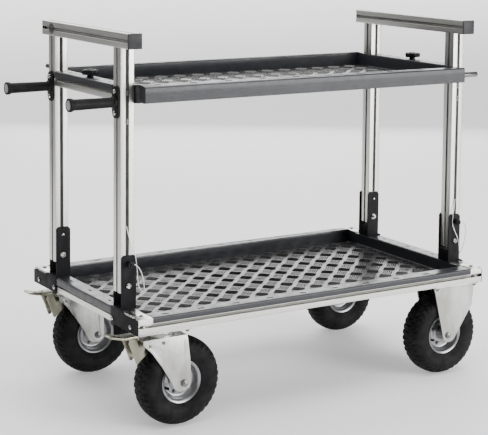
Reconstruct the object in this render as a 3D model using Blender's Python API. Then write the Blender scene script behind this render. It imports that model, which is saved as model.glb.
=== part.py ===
"""Two-deck equipment cart: T-slot aluminium frame, two sheet trays, pneumatic castors.

Metres, +Z up, +X along the cart (push handles at -X), origin on the floor under
the middle of the bounding box.
"""
import math

import bmesh
import bpy
from mathutils import Matrix, Vector

# ---- driving dimensions -------------------------------------------------
P = 0.045                 # side of the T-slot profile
SLOT = 0.005              # half of the slot opening
SLOT_IN = 0.010           # half of the slot's inner width
LIP = 0.0045              # thickness of the slot lips
SLOT_D = 0.0145           # slot depth
DX = 0.0388               # puts the bounding box's middle over the origin
XL = 0.635                # half length of the frame
YW = 0.365                # half width of the frame
Z_BASE = 0.307            # underside of the base frame
Z_BTOP = Z_BASE + P       # top of the base frame
UY0 = 0.204               # upright, inner face
UY1 = UY0 + P             # upright, outer face
Z_FOOT = 0.4035           # cut end of the uprights
Z_TOP = 1.165             # top of the cart
Z_RAIL = Z_TOP - P        # underside of the top rails
RAIL_Y = 0.294            # half length of the top rails
Z_SHELF = 0.9645          # underside of the crossbars
Z_STOP = Z_SHELF + P      # top of the crossbars
SHEET = 0.002             # tray sheet
GAP = 0.0003              # clearance between separate pieces
TRAY_Y = 0.3135           # half width of the upper tray
TRAY_X = 0.5885           # half length of the upper tray's pan
LIP_Y = UY0 - 0.011       # half width of the lower tray's end lip
RIM_W = 0.036             # rim width of the upper tray
Z_PIVOT = 0.4245          # fold pivot of the end frames
Z_PIN = 0.4900            # lock pin
PIN_X = 0.6105            # lock pin and pivot position along the cart
TYRE_R = 0.1335           # tyre radius
TYRE_W = 0.088            # tyre width
WHEEL_Y = 0.288           # wheel centre line
WHEEL_XL = -0.469         # swivel wheel axle
WHEEL_XR = 0.5225         # fixed wheel axle
SWIVEL_X = -0.530         # swivel axis
BRAKE = (-0.582, 0.260)   # brake pedal pivot, along and up
GRIP_Z = 0.9622           # push handle height
GRIP_Y = 0.2265           # push handle position across


def clear_scene():
    for obj in list(bpy.data.objects):
        bpy.data.objects.remove(obj, do_unlink=True)


def material(name, color, metallic, roughness):
    mat = bpy.data.materials.get(name)
    if mat:
        return mat
    mat = bpy.data.materials.new(name)
    mat.use_nodes = True
    bsdf = mat.node_tree.nodes["Principled BSDF"]
    bsdf.inputs["Base Color"].default_value = (*color, 1.0)
    bsdf.inputs["Metallic"].default_value = metallic
    bsdf.inputs["Roughness"].default_value = roughness
    return mat


MATS = {
    "anodised": ((0.60, 0.59, 0.56), 1.0, 0.38),
    "powder": ((0.035, 0.036, 0.040), 0.0, 0.45),
    "bracket": ((0.050, 0.050, 0.052), 0.0, 0.50),
    "zinc": ((0.62, 0.60, 0.52), 1.0, 0.35),
    "steel": ((0.66, 0.66, 0.66), 1.0, 0.25),
    "rubber": ((0.018, 0.018, 0.018), 0.0, 0.80),
    "plastic": ((0.020, 0.020, 0.021), 0.0, 0.45),
    "grip": ((0.022, 0.022, 0.023), 0.0, 0.60),
    "rim": ((0.60, 0.60, 0.61), 1.0, 0.35),
}


def finish(name, bm, mat):
    """Turn a bmesh into a named object with outward faces."""
    bmesh.ops.remove_doubles(bm, verts=bm.verts, dist=1e-6)
    bmesh.ops.recalc_face_normals(bm, faces=bm.faces)
    mesh = bpy.data.meshes.new(name)
    bm.to_mesh(mesh)
    bm.free()
    obj = bpy.data.objects.new(name, mesh)
    bpy.context.scene.collection.objects.link(obj)
    color, metallic, roughness = MATS[mat]
    mesh.materials.append(material(mat, color, metallic, roughness))
    return obj


def add_prism(bm, outline, axis, lo, hi):
    """Extrude a 2-D outline along an axis; outline axes are the other two in order."""
    def place(pt, t):
        a, b = pt
        return {"x": (t, a, b), "y": (a, t, b), "z": (a, b, t)}[axis]
    low = [bm.verts.new(place(pt, lo)) for pt in outline]
    high = [bm.verts.new(place(pt, hi)) for pt in outline]
    bm.faces.new(low)
    bm.faces.new(high)
    n = len(outline)
    for i in range(n):
        j = (i + 1) % n
        bm.faces.new((low[i], low[j], high[j], high[i]))


def prism(name, outline, axis, lo, hi, mat="powder"):
    bm = bmesh.new()
    add_prism(bm, outline, axis, lo, hi)
    return finish(name, bm, mat)


def box(name, lo, hi, mat="powder"):
    outline = [(lo[0], lo[1]), (hi[0], lo[1]), (hi[0], hi[1]), (lo[0], hi[1])]
    return prism(name, outline, "z", lo[2], hi[2], mat)


def circle(cx, cy, r, n, start=0.0):
    step = 2.0 * math.pi / n
    return [(cx + r * math.cos(start + i * step), cy + r * math.sin(start + i * step))
            for i in range(n)]


def rod(name, axis, centre, r, lo, hi, mat="steel", n=16):
    return prism(name, circle(centre[0], centre[1], r, n), axis, lo, hi, mat)


def lathe(name, profile, centre, axis, steps, mat, closed=True):
    """Spin (along, radius) points about an axis; a closed profile makes a ring."""
    bm = bmesh.new()
    rings = []
    for i in range(steps):
        a = 2.0 * math.pi * i / steps
        ring = []
        for along, r in profile:
            u = r * math.cos(a)
            w = r * math.sin(a)
            off = {"x": (along, u, w), "y": (u, along, w), "z": (u, w, along)}[axis]
            ring.append(bm.verts.new(Vector(centre) + Vector(off)))
        rings.append(ring)
    n = len(profile)
    last = n if closed else n - 1
    for i in range(steps):
        a = rings[i]
        b = rings[(i + 1) % steps]
        for k in range(last):
            m = (k + 1) % n
            bm.faces.new((a[k], a[m], b[m], b[k]))
    if not closed:
        bm.faces.new([ring[0] for ring in rings])
        bm.faces.new([ring[-1] for ring in rings])
    return finish(name, bm, mat)


def combine(obj, others, mode):
    """Union or cut with other solids (exact), then bake the result."""
    for other in others:
        mod = obj.modifiers.new("b", "BOOLEAN")
        mod.operation = mode
        mod.solver = "EXACT"
        mod.object = other
        deps = bpy.context.evaluated_depsgraph_get()
        mesh = bpy.data.meshes.new_from_object(obj.evaluated_get(deps))
        obj.modifiers.clear()
        old = obj.data
        name = old.name
        obj.data = mesh
        bpy.data.meshes.remove(old)
        mesh.name = name
        bpy.data.objects.remove(other, do_unlink=True)
    bm = bmesh.new()
    bm.from_mesh(obj.data)
    bmesh.ops.remove_doubles(bm, verts=bm.verts, dist=2e-6)
    bmesh.ops.dissolve_degenerate(bm, dist=1e-6, edges=bm.edges)
    bmesh.ops.recalc_face_normals(bm, faces=bm.faces)
    bm.to_mesh(obj.data)
    bm.free()
    return obj


def union(obj, others):
    return combine(obj, others, "UNION")


def cut(obj, others):
    return combine(obj, others, "DIFFERENCE")


def hinge_at(obj, point):
    """Put an object's origin on its joint axis."""
    delta = Vector(point) - obj.location
    obj.data.transform(Matrix.Translation(-delta))
    obj.location = Vector(point)
    return obj


# ---- T-slot profile -----------------------------------------------------
def slot_outline():
    h = P / 2
    quarter = [
        (h, h), (h, SLOT), (h - LIP, SLOT), (h - LIP, SLOT_IN),
        (h - SLOT_D, SLOT_IN - 0.005), (h - SLOT_D, -SLOT_IN + 0.005), (h - LIP, -SLOT_IN),
        (h - LIP, -SLOT), (h, -SLOT),
    ]
    outline = []
    for k in range(4):
        c = round(math.cos(-k * math.pi / 2))
        s = round(math.sin(-k * math.pi / 2))
        outline += [(c * a - s * b, s * a + c * b) for a, b in quarter]
    return outline


SECTION = slot_outline()


def profile(name, axis, centre, lo, hi):
    outline = [(a + centre[0], b + centre[1]) for a, b in SECTION]
    return prism(name, outline, axis, lo, hi, "anodised")


# ---- base and end frames ------------------------------------------------
def build_base():
    zc = Z_BASE + P / 2
    for tag, s in (("F", -1), ("R", 1)):
        profile("base_side_" + tag, "x", (s * (YW - P / 2), zc), -XL, XL)
    for tag, s in (("L", -1), ("E", 1)):
        profile("base_end_" + tag, "y", (s * (XL - P / 2), zc), -YW + P + GAP, YW - P - GAP)


def lower_tray():
    z0 = Z_BASE + 0.0055
    zf = Z_BTOP + GAP
    xi = XL - P - 0.001
    yi = YW - P - 0.001
    pan = box("lower_tray", (-xi, -yi, z0), (xi, yi, zf + SHEET))
    inner = box("c", (-xi + SHEET, -yi + SHEET, z0 + SHEET), (xi - SHEET, yi - SHEET, zf + 0.01))
    cut(pan, [inner])
    parts = []
    yo = YW + GAP + SHEET
    xo = XL + GAP + SHEET
    for s in (-1, 1):
        ya, yb = sorted((s * (yi - 0.001), s * yo))
        parts.append(box("c", (-xi, ya, zf), (xi, yb, zf + SHEET)))
        ya, yb = sorted((s * (yo - SHEET), s * yo))
        parts.append(box("c", (-xi, ya, zf - 0.0165), (xi, yb, zf + 0.001)))
        xa, xb = sorted((s * (xi - 0.001), s * (XL - 0.003)))
        parts.append(box("c", (xa, -UY1 - 0.0055, zf), (xb, UY1 + 0.0055, zf + SHEET)))
        xa, xb = sorted((s * (XL - 0.004), s * xo))
        parts.append(box("c", (xa, -LIP_Y, zf), (xb, LIP_Y, zf + SHEET)))
        xa, xb = sorted((s * (xo - SHEET), s * xo))
        parts.append(box("c", (xa, -LIP_Y, zf - 0.0225), (xb, LIP_Y, zf + 0.001)))
    return union(pan, parts)


def hinge_bracket(tag, sx, sy):
    """U bracket on the end plate, open to the outside, with the end plate below."""
    t = 0.004
    z0 = Z_BTOP + GAP + SHEET + GAP
    zt = 0.5145
    xo = XL - 0.0025
    xw = XL - P - GAP - 0.0045
    ya = UY0 - GAP - t
    yb = UY1 + GAP + t

    def span(a, b):
        return sorted((a, b))

    base = prism("bracket_" + tag, rect(*span(sx * xw, sx * xo), *span(sy * ya, sy * yb)), "z",
                 z0, z0 + t, "bracket")
    parts = []
    r = 0.008
    side = [(xw, z0), (XL - 0.002, z0), (XL - 0.002, zt - r), (XL - 0.002 - r, zt), (xw + r, zt),
            (xw, zt - r)]
    side = [(sx * a, b) for a, b in side]
    for lo in (ya, yb - t):
        a, b = span(sy * lo, sy * (lo + t))
        parts.append(prism("c", side, "y", a, b, "bracket"))
    a, b = span(sy * (ya + 0.001), sy * (yb - 0.001))
    parts.append(prism("c", [(sx * xw, z0), (sx * (xw + t), z0), (sx * (xw + t), 0.393),
                             (sx * xw, 0.393)], "y", a, b, "bracket"))
    plate = [(LIP_Y + 0.0015, z0 + t), (LIP_Y + 0.0015, 0.2995), (UY0 + 0.0145, 0.2995),
             (UY0 + 0.0145, 0.3055), (YW - 0.0015, 0.3055), (YW - 0.0015, 0.348), (UY1 + 0.030, 0.348),
             (UY1 + 0.010, z0 + t)]
    plate = [(sy * a, b) for a, b in plate]
    a, b = span(sx * (XL + GAP), sx * (XL + GAP + t))
    parts.append(prism("c", plate, "x", a, b, "bracket"))
    a, b = span(sx * (XL - 0.004), sx * (XL + GAP + t))
    parts.append(prism("c", rect(a, b, *span(sy * (ya + 0.001), sy * (yb - 0.001))), "z",
                       z0, z0 + t, "bracket"))
    union(base, parts)
    px = sx * PIN_X
    cuts = [rod("c", "y", (px, z), 0.0054, *span(sy * (UY0 - 0.02), sy * (UY1 + 0.02)), n=10)
            for z in (Z_PIN, Z_PIVOT)]
    return cut(base, cuts)


def rect(x0, x1, y0, y1):
    return [(x0, y0), (x1, y0), (x1, y1), (x0, y1)]


def pivot_bolt(tag, sx, sy):
    y0 = sy * (UY1 + GAP + 0.0045)
    y1 = sy * (UY1 + GAP + 0.0125)
    y2 = sy * (UY0 - GAP - 0.0045)
    y3 = sy * (UY0 - GAP - 0.0125)
    c = (sx * PIN_X, Z_PIVOT)
    shaft = rod("pivot_" + tag, "y", c, 0.005, *sorted((y1 - sy * 0.002, y3)), "zinc", 10)
    head = rod("c", "y", c, 0.0092, *sorted((y0, y1)), "zinc", 12)
    nut = rod("c", "y", c, 0.0090, *sorted((y2, y3 + sy * 0.001)), "zinc", 6)
    return union(shaft, [head, nut])


def upright(tag, sx, sy):
    obj = profile("upright_" + tag, "z", (sx * (XL - P / 2), sy * (UY0 + P / 2)), Z_FOOT,
                  Z_RAIL - GAP)
    c = sx * PIN_X
    cuts = [rod("c", "y", (c, z), 0.0056, *sorted((sy * (UY0 - 0.02), sy * (UY1 + 0.02))), n=10)
            for z in (Z_PIN, Z_PIVOT)]
    return cut(obj, cuts)


def lock_pin(tag, sx, sy):
    """Quick-release pin with a knob, pushed in from the outer side."""
    y_in = UY0 - GAP - 0.004 - 0.005
    y_face = UY1 + GAP + 0.004 + 0.0006
    prof = [(y_in, 0.0046), (y_face - 0.0005, 0.0046), (y_face, 0.0080), (y_face + 0.011, 0.0080),
            (y_face + 0.012, 0.0098), (y_face + 0.019, 0.0098), (y_face + 0.021, 0.0080),
            (y_face + 0.021, 0.0045), (y_face + 0.026, 0.0040)]
    prof = [(sy * a, r) for a, r in prof]
    obj = lathe("lock_pin_" + tag, prof, (sx * PIN_X, 0.0, Z_PIN), "y", 14, "plastic", False)
    return hinge_at(obj, (sx * PIN_X, sy * (y_face + 0.010), Z_PIN))


def top_rail(tag, sx):
    profile("top_rail_" + tag, "y", (sx * (XL - P / 2), Z_TOP - P / 2), -RAIL_Y, RAIL_Y)
    x0, x1 = sorted((sx * (XL - P), sx * XL))
    for end, s in (("F", -1), ("R", 1)):
        a, b = sorted((s * (RAIL_Y + GAP), s * (RAIL_Y + 0.0045)))
        cap = box("end_cap_%s%s" % (tag, end), (x0, a, Z_RAIL), (x1, b, Z_TOP), "plastic")
        bev = cap.modifiers.new("bevel", "BEVEL")
        bev.width = 0.0012
        bev.segments = 2


# ---- shelf ---------------------------------------------------------------
def crossbar(tag, sx):
    profile("crossbar_" + tag, "y", (sx * (XL - P / 2), Z_SHELF + P / 2), -UY0 + GAP, UY0 - GAP)


def upper_tray():
    zf = Z_STOP + GAP
    zt = zf + SHEET
    z0 = Z_SHELF
    yi = TRAY_Y - RIM_W
    pan = box("upper_tray", (-TRAY_X, -TRAY_Y, z0), (TRAY_X, TRAY_Y, zt))
    well = box("c", (-TRAY_X + SHEET, -yi, z0 + 2 * SHEET), (TRAY_X - SHEET, yi, zt + 0.01))
    under = [box("c", (-TRAY_X + SHEET, s * (TRAY_Y + yi) / 2 - (RIM_W / 2 - SHEET), z0 - 0.01),
                 (TRAY_X - SHEET, s * (TRAY_Y + yi) / 2 + (RIM_W / 2 - SHEET), zf))
             for s in (-1, 1)]
    below = box("c", (-TRAY_X + SHEET, -yi - SHEET, z0 - 0.01),
                (TRAY_X - SHEET, yi + SHEET, z0 + SHEET))
    cut(pan, [well, under[0], under[1], below])
    parts = []
    for s in (-1, 1):
        xa, xb = sorted((s * (TRAY_X - 0.001), s * (XL + GAP + SHEET)))
        parts.append(box("c", (xa, -UY0 + 0.002, zf), (xb, UY0 - 0.002, zt)))
        xa, xb = sorted((s * (XL + GAP), s * (XL + GAP + SHEET)))
        parts.append(box("c", (xa, -UY0 + 0.002, zf - 0.0205), (xb, UY0 - 0.002, zf + 0.001)))
    union(pan, parts)
    holes = [rod("c", "z", (s * (XL - P / 2), 0.0), 0.0055, zf - 0.002, zt + 0.002, n=14)
             for s in (-1, 1)]
    return cut(pan, holes)


def star_knob(tag, sx):
    """Five-lobed clamping knob with its stud reaching into the crossbar slot."""
    z0 = Z_STOP + GAP + SHEET + GAP
    x = sx * (XL - P / 2)
    outline = []
    n = 20
    for i in range(n):
        a = 2.0 * math.pi * i / n
        r = 0.0240 + 0.0033 * math.cos(5 * a)
        outline.append((x + r * math.cos(a), r * math.sin(a)))
    head = prism("star_knob_" + tag, outline, "z", z0 + 0.0070, z0 + 0.0215, "plastic")
    hub = lathe("c", [(z0, 0.0105), (z0 + 0.009, 0.0095), (z0 + 0.0225, 0.0095),
                      (z0 + 0.0235, 0.0080)], (x, 0.0, 0.0), "z", 18, "plastic", False)
    stud = rod("c", "z", (x, 0.0), 0.0038, Z_STOP - 0.009, z0 + 0.004, "plastic", 12)
    union(head, [hub, stud])
    return hinge_at(head, (x, 0.0, z0))


# ---- handles and side knobs ----------------------------------------------
def stadium(cy, cz, half_w, half_h, n=7):
    pts = []
    for k in range(n + 1):
        a = math.pi * k / n
        pts.append((cy + half_w * math.cos(a), cz + (half_h - half_w) + half_w * math.sin(a)))
    for k in range(n + 1):
        a = math.pi + math.pi * k / n
        pts.append((cy + half_w * math.cos(a), cz - (half_h - half_w) + half_w * math.sin(a)))
    return pts


def handle(tag, sy):
    x0 = -(XL + GAP)
    y = sy * GRIP_Y
    prism("handle_plate_" + tag, stadium(y, GRIP_Z, 0.0200, 0.0475), "x", x0 - 0.006, x0, "bracket")
    x1 = x0 - 0.006 - GAP
    prof = [(x1, 0.0190), (x1 - 0.006, 0.0190), (x1 - 0.008, 0.0165), (x1 - 0.133, 0.0165),
            (x1 - 0.138, 0.0200), (x1 - 0.146, 0.0200), (x1 - 0.1475, 0.0185)]
    lathe("grip_" + tag, prof, (0.0, y, GRIP_Z), "x", 22, "grip", False)


def side_knobs():
    prof = [(XL + GAP, 0.0080), (XL + 0.024, 0.0080), (XL + 0.025, 0.0092), (XL + 0.0750, 0.0092),
            (XL + 0.0765, 0.0076)]
    lathe("side_knob_FE", prof, (0.0, -GRIP_Y, 0.977), "x", 16, "plastic", False)
    prof = [(UY1 + GAP, 0.0060), (UY1 + 0.020, 0.0060), (UY1 + 0.021, 0.0070),
            (UY1 + 0.062, 0.0070), (UY1 + 0.0635, 0.0055)]
    lathe("side_knob_RL", prof, (-(XL - P / 2), 0.0, 1.017), "y", 16, "plastic", False)


# ---- castors ---------------------------------------------------------------
def wheel(tag, x, sy):
    y = sy * WHEEL_Y
    hw = TYRE_W / 2
    prof = []
    for k in range(11):
        a = math.radians(-112 + k * 224 / 10)
        rad = TYRE_R - 0.037 + 0.037 * math.cos(a)
        wide = hw * math.copysign(abs(math.sin(a)) ** 0.75, math.sin(a))
        prof.append((wide, rad))
    prof += [(0.031, 0.0655), (-0.031, 0.0655)]
    tyre = lathe("tyre_" + tag, prof, (x, y, TYRE_R), "y", 28, "rubber")
    hinge_at(tyre, (x, y, TYRE_R))
    half = [(0.041, 0.0106), (0.041, 0.0190), (0.008, 0.0210), (0.008, 0.0480), (0.029, 0.0560),
            (0.033, 0.0630), (0.030, 0.0648)]
    rim = half + [(-w, r) for w, r in reversed(half)]
    body = lathe("rim_" + tag, rim, (x, y, TYRE_R), "y", 20, "rim")
    hinge_at(body, (x, y, TYRE_R))


def axle(tag, x, sy, home):
    y = sy * WHEEL_Y
    shaft = rod("axle_" + tag, "y", (x, TYRE_R), 0.0100, y - 0.0575, y + 0.0575, "zinc", 18)
    head = rod("c", "y", (x, TYRE_R), 0.0140, y - 0.0590, y - 0.0510, "zinc", 6)
    nut = rod("c", "y", (x, TYRE_R), 0.0140, y + 0.0510, y + 0.0590, "zinc", 6)
    union(shaft, [head, nut])
    return hinge_at(shaft, home)


def swivel_fork(tag, sy):
    y = sy * WHEEL_Y
    side = [(-0.605, 0.279), (-0.6045, 0.266), (-0.576, 0.238), (-0.545, 0.195), (-0.520, 0.155),
            (-0.509, 0.136), (-0.501, 0.120), (-0.486, 0.1105), (-0.466, 0.1105),
            (-0.451, 0.120), (-0.447, 0.136), (-0.450, 0.205), (-0.460, 0.279)]
    t = 0.0035
    fork = prism("fork_" + tag, side, "y", y - 0.0500, y - 0.0500 + t, "zinc")
    other = prism("c", side, "y", y + 0.0500 - t, y + 0.0500, "zinc")
    crown = prism("c", rect(-0.6045, -0.4605, y - 0.0499, y + 0.0499), "z", 0.2735, 0.2795, "zinc")
    race = lathe("c", [(0.2770, 0.0480), (0.2830, 0.0480), (0.2890, 0.0430), (0.2945, 0.0430)],
                 (SWIVEL_X, y, 0.0), "z", 20, "zinc", False)
    union(fork, [other, crown, race])
    holes = [rod("c", "y", (WHEEL_XL, TYRE_R), 0.0104, y - 0.07, y + 0.07, n=18),
             rod("c", "y", BRAKE, 0.0044, y - 0.07, y + 0.07, n=12)]
    cut(fork, holes)
    hinge_at(fork, (SWIVEL_X, y, 0.296))
    plate = prism("swivel_plate_" + tag, rect(-0.6300, -0.4550, *sorted((sy * 0.3600, sy * 0.2240))),
                  "z", 0.3007, Z_BASE - GAP, "zinc")
    ring = rod("c", "z", (SWIVEL_X, y), 0.036, 0.2950, 0.3015, "zinc", 20)
    return union(plate, [ring])


def brake_pedal(tag, sy):
    """Total-lock pedal: foot plate, side cheeks and brake shoe arm on one pivot."""
    y = sy * WHEEL_Y
    plate = [(-0.608, 0.2840), (-0.613, 0.2885), (-0.653, 0.2870), (-0.6910, 0.2955),
             (-0.6990, 0.2945), (-0.6980, 0.2915), (-0.653, 0.2815), (-0.613, 0.2780)]
    pedal = prism("brake_pedal_" + tag, plate, "y", y - 0.0230, y + 0.0230, "zinc")
    cheek = [(-0.5740, 0.2660), (-0.6060, 0.2710), (-0.6065, 0.2850), (-0.634, 0.2865),
             (-0.6380, 0.2680), (-0.6260, 0.2400), (-0.6140, 0.2060), (-0.6070, 0.2060),
             (-0.5990, 0.2150), (-0.5660, 0.2415), (-0.5675, 0.2500)]
    sides = [prism("c", cheek, "y", y + a, y + a + 0.003, "zinc") for a in (-0.0225, 0.0195)]
    shoe = prism("c", [(-0.5675, 0.2440), (-0.5650, 0.2415), (-0.5990, 0.2140),
                       (-0.6010, 0.2170)], "y", y - 0.0215, y + 0.0215, "zinc")
    pin = rod("c", "y", BRAKE, 0.0040, y - 0.0525, y + 0.0525, "zinc", 12)
    union(pedal, [sides[0], sides[1], shoe, pin])
    return hinge_at(pedal, (BRAKE[0], y, BRAKE[1]))


def fixed_fork(tag, sy):
    y = sy * WHEEL_Y
    side = [(0.4585, 0.3055), (0.6280, 0.3055), (0.6200, 0.2260), (0.5570, 0.1330),
            (0.5465, 0.1180), (0.5335, 0.1110), (0.5155, 0.1110), (0.5045, 0.1190),
            (0.4995, 0.1400)]
    t = 0.004
    fork = prism("fork_" + tag, side, "y", y - 0.0510, y - 0.0510 + t, "zinc")
    other = prism("c", side, "y", y + 0.0510 - t, y + 0.0510, "zinc")
    plate = prism("c", rect(0.4500, 0.6300, *sorted((sy * 0.3600, sy * 0.2240))), "z",
                  0.3012, Z_BASE - GAP, "zinc")
    union(fork, [other, plate])
    return cut(fork, [rod("c", "y", (WHEEL_XR, TYRE_R), 0.0104, y - 0.07, y + 0.07, n=18)])


# ---- wire lanyards ---------------------------------------------------------
def lanyard(name, points, mat="steel"):
    curve = bpy.data.curves.new(name, "CURVE")
    curve.dimensions = "3D"
    curve.bevel_depth = 0.0013
    curve.bevel_resolution = 2
    curve.use_fill_caps = True
    spline = curve.splines.new("POLY")
    dense = smooth_path(points)
    spline.points.add(len(dense) - 1)
    for pt, p in zip(spline.points, dense):
        pt.co = (*p, 1.0)
    obj = bpy.data.objects.new(name, curve)
    bpy.context.scene.collection.objects.link(obj)
    color, metallic, roughness = MATS[mat]
    curve.materials.append(material(mat, color, metallic, roughness))


def smooth_path(points, step=0.0075):
    """Even points along a Catmull-Rom curve through the given ones."""
    pts = [Vector(p) for p in points]
    fine = []
    for i in range(len(pts) - 1):
        a = pts[max(i - 1, 0)]
        b = pts[i]
        c = pts[i + 1]
        d = pts[min(i + 2, len(pts) - 1)]
        for k in range(20):
            t = k / 20
            fine.append(0.5 * ((2 * b) + (c - a) * t + (2 * a - 5 * b + 4 * c - d) * t * t
                               + (3 * b - a - 3 * c + d) * t ** 3))
    fine.append(pts[-1])
    out = [fine[0]]
    run = 0.0
    for a, b in zip(fine, fine[1:]):
        run += (b - a).length
        if run >= step:
            out.append(b)
            run = 0.0
    return out


def lanyards():
    y = -(UY1 + GAP + 0.004)
    x = -PIN_X
    lanyard("lanyard_FL", [
        (x - 0.0055, y + 0.0024, 0.6010), (x + 0.0030, y + 0.0005, 0.5670),
        (x + 0.0165, y - 0.0055, 0.5250), (x + 0.0220, y - 0.0090, 0.4850),
        (x + 0.0225, y - 0.0150, 0.4450), (x + 0.0260, y - 0.0180, 0.4200),
        (x + 0.0350, y - 0.0190, 0.4065), (x + 0.0415, y - 0.0190, 0.4160),
        (x + 0.0390, y - 0.0180, 0.4450), (x + 0.0280, y - 0.0160, 0.4750),
        (x + 0.0116, y - 0.0150, 0.4905)])
    x = PIN_X
    lanyard("lanyard_FE", [
        (x - 0.0005, y + 0.0024, 0.5650), (x - 0.0060, y - 0.0010, 0.5370),
        (x - 0.0125, y - 0.0035, 0.5080), (x - 0.0130, y - 0.0040, 0.4820),
        (x - 0.0060, y - 0.0070, 0.4600), (x + 0.0015, y - 0.0130, 0.4380),
        (x + 0.0060, y - 0.0140, 0.4200), (x + 0.0095, y - 0.0135, 0.4030),
        (x + 0.0105, y - 0.0130, 0.3900), (x + 0.0150, y - 0.0130, 0.3845),
        (x + 0.0215, y - 0.0140, 0.3960), (x + 0.0300, y - 0.0155, 0.4250),
        (x + 0.0345, y - 0.0160, 0.4550), (x + 0.0310, y - 0.0160, 0.4770),
        (x + 0.0210, y - 0.0155, 0.4890), (x + 0.0116, y - 0.0150, 0.4905)])


CORNERS = (("FL", -1, -1), ("RL", -1, 1), ("FE", 1, -1), ("RE", 1, 1))


def main():
    clear_scene()
    build_base()
    lower_tray()
    for tag, sx, sy in CORNERS:
        hinge_bracket(tag, sx, sy)
        pivot_bolt(tag, sx, sy)
        upright(tag, sx, sy)
        lock_pin(tag, sx, sy)
        x = WHEEL_XL if sx < 0 else WHEEL_XR
        home = (SWIVEL_X, sy * WHEEL_Y, 0.296) if sx < 0 else (x, sy * WHEEL_Y, TYRE_R)
        wheel(tag, x, sy)
        axle(tag, x, sy, home)
        if sx < 0:
            swivel_fork(tag, sy)
            brake_pedal(tag, sy)
        else:
            fixed_fork(tag, sy)
    for tag, sx in (("L", -1), ("E", 1)):
        top_rail(tag, sx)
        crossbar(tag, sx)
        star_knob(tag, sx)
    upper_tray()
    for tag, sy in (("F", -1), ("R", 1)):
        handle(tag, sy)
    side_knobs()
    lanyards()
    for obj in bpy.data.objects:
        obj.location.x += DX


main()
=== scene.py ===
import math

import bmesh
import bpy
from mathutils import Matrix, Vector


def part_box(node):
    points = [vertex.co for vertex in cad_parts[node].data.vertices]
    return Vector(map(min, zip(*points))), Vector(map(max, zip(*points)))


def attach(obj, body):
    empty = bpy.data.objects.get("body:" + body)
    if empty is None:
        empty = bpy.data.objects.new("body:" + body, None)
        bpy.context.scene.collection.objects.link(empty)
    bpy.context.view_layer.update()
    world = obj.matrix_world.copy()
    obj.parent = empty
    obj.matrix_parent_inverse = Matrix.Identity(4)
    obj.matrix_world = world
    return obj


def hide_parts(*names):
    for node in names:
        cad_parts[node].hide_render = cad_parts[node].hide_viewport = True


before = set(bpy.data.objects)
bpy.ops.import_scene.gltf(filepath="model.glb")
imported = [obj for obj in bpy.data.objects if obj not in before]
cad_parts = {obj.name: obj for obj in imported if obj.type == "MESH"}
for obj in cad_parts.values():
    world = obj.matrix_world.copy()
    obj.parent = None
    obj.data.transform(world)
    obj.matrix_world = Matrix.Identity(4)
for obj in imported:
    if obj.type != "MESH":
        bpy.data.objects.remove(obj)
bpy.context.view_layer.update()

# ---- places read from the frame -----------------------------------------
BASE_LO, BASE_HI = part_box("base_side_F")
MID_X = (BASE_LO.x + BASE_HI.x) / 2
XL = (BASE_HI.x - BASE_LO.x) / 2          # half length of the frame
P = BASE_HI.z - BASE_LO.z                 # side of the T-slot profile
YW = -BASE_LO.y                           # half width of the frame
Z_BASE, Z_BTOP = BASE_LO.z, BASE_HI.z
UP_LO, UP_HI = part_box("upright_FL")
UY1, UY0 = -UP_LO.y, -UP_HI.y             # upright, outer and inner face
RAIL_LO, RAIL_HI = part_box("top_rail_L")
LOW_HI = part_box("lower_tray")[1]
TRAY_LO, TRAY_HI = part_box("upper_tray")
BR_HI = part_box("bracket_FL")[1]
PIN_LO, PIN_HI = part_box("pivot_FL")
PIN_X = MID_X - (PIN_LO.x + PIN_HI.x) / 2  # pivot and lock pin, from the middle
Z_PIVOT = (PIN_LO.z + PIN_HI.z) / 2
KNOB_LO, KNOB_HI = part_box("lock_pin_FL")
Z_PIN = (KNOB_LO.z + KNOB_HI.z) / 2

SHEET = 0.002        # tray sheet
GAP = 0.0003         # clearance between pieces
SLOT = 0.005         # half of the slot opening
SLOT_IN = 0.010      # half of the slot's inner width
SLOT_LIP = 0.0045    # thickness of the slot lips
SLOT_D = 0.0145      # slot depth
PLATE = 0.004        # bracket plate
CORD = 0.0026        # lanyard diameter
SLOT_SHADE_STRIP = (0.0122, -0.0002)   # width and depth of the uprights' side strips: dark sheets of painted shade over the open slots
PALE_STRIP = (0.0054, 0.0030)    # narrow strips that lie deep in a slot
TOP_SLOT_SHADE = (0.0098, 0.0006)     # strips of painted shade in the base's top slots, under the lower tray's flange slots
CORNERS = (("FL", -1, -1), ("RL", -1, 1), ("FE", 1, -1), ("RE", 1, 1))


# ---- camera ----------------------------------------------------------------
def make_camera():
    """The photograph's viewing angle: a long lens, a little to the left, from eye height."""
    az, pitch, roll = (math.radians(a) for a in (-31.70, 5.99, 0.53))
    ahead = Vector((-math.sin(az) * math.cos(pitch), math.cos(az) * math.cos(pitch),
                    -math.sin(pitch)))
    right = ahead.cross(Vector((0, 0, 1))).normalized()
    up = right.cross(ahead)
    side = right * math.cos(roll) + up * math.sin(roll)
    top = up * math.cos(roll) - right * math.sin(roll)
    turn = Matrix((side, top, -ahead)).transposed()
    data = bpy.data.cameras.new("camera")
    data.lens = 108.95
    data.sensor_width = 36.0
    data.shift_x = -0.003
    data.shift_y = -0.307
    cam = bpy.data.objects.new("camera", data)
    cam.matrix_world = Matrix.Translation((MID_X - 2.5385, -4.0123, 1.5086)) @ turn.to_4x4()
    bpy.context.scene.collection.objects.link(cam)
    bpy.context.scene.camera = cam


# ---- materials ---------------------------------------------------------------
def new_material(name, metallic, roughness, color=(0.5, 0.5, 0.5), **sockets):
    mat = bpy.data.materials.new(name)
    mat.use_nodes = True
    shader = mat.node_tree.nodes["Principled BSDF"]
    shader.inputs["Base Color"].default_value = (*color, 1.0)
    shader.inputs["Metallic"].default_value = metallic
    shader.inputs["Roughness"].default_value = roughness
    for key, value in sockets.items():
        shader.inputs[key.replace("_", " ")].default_value = value
    return mat


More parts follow.
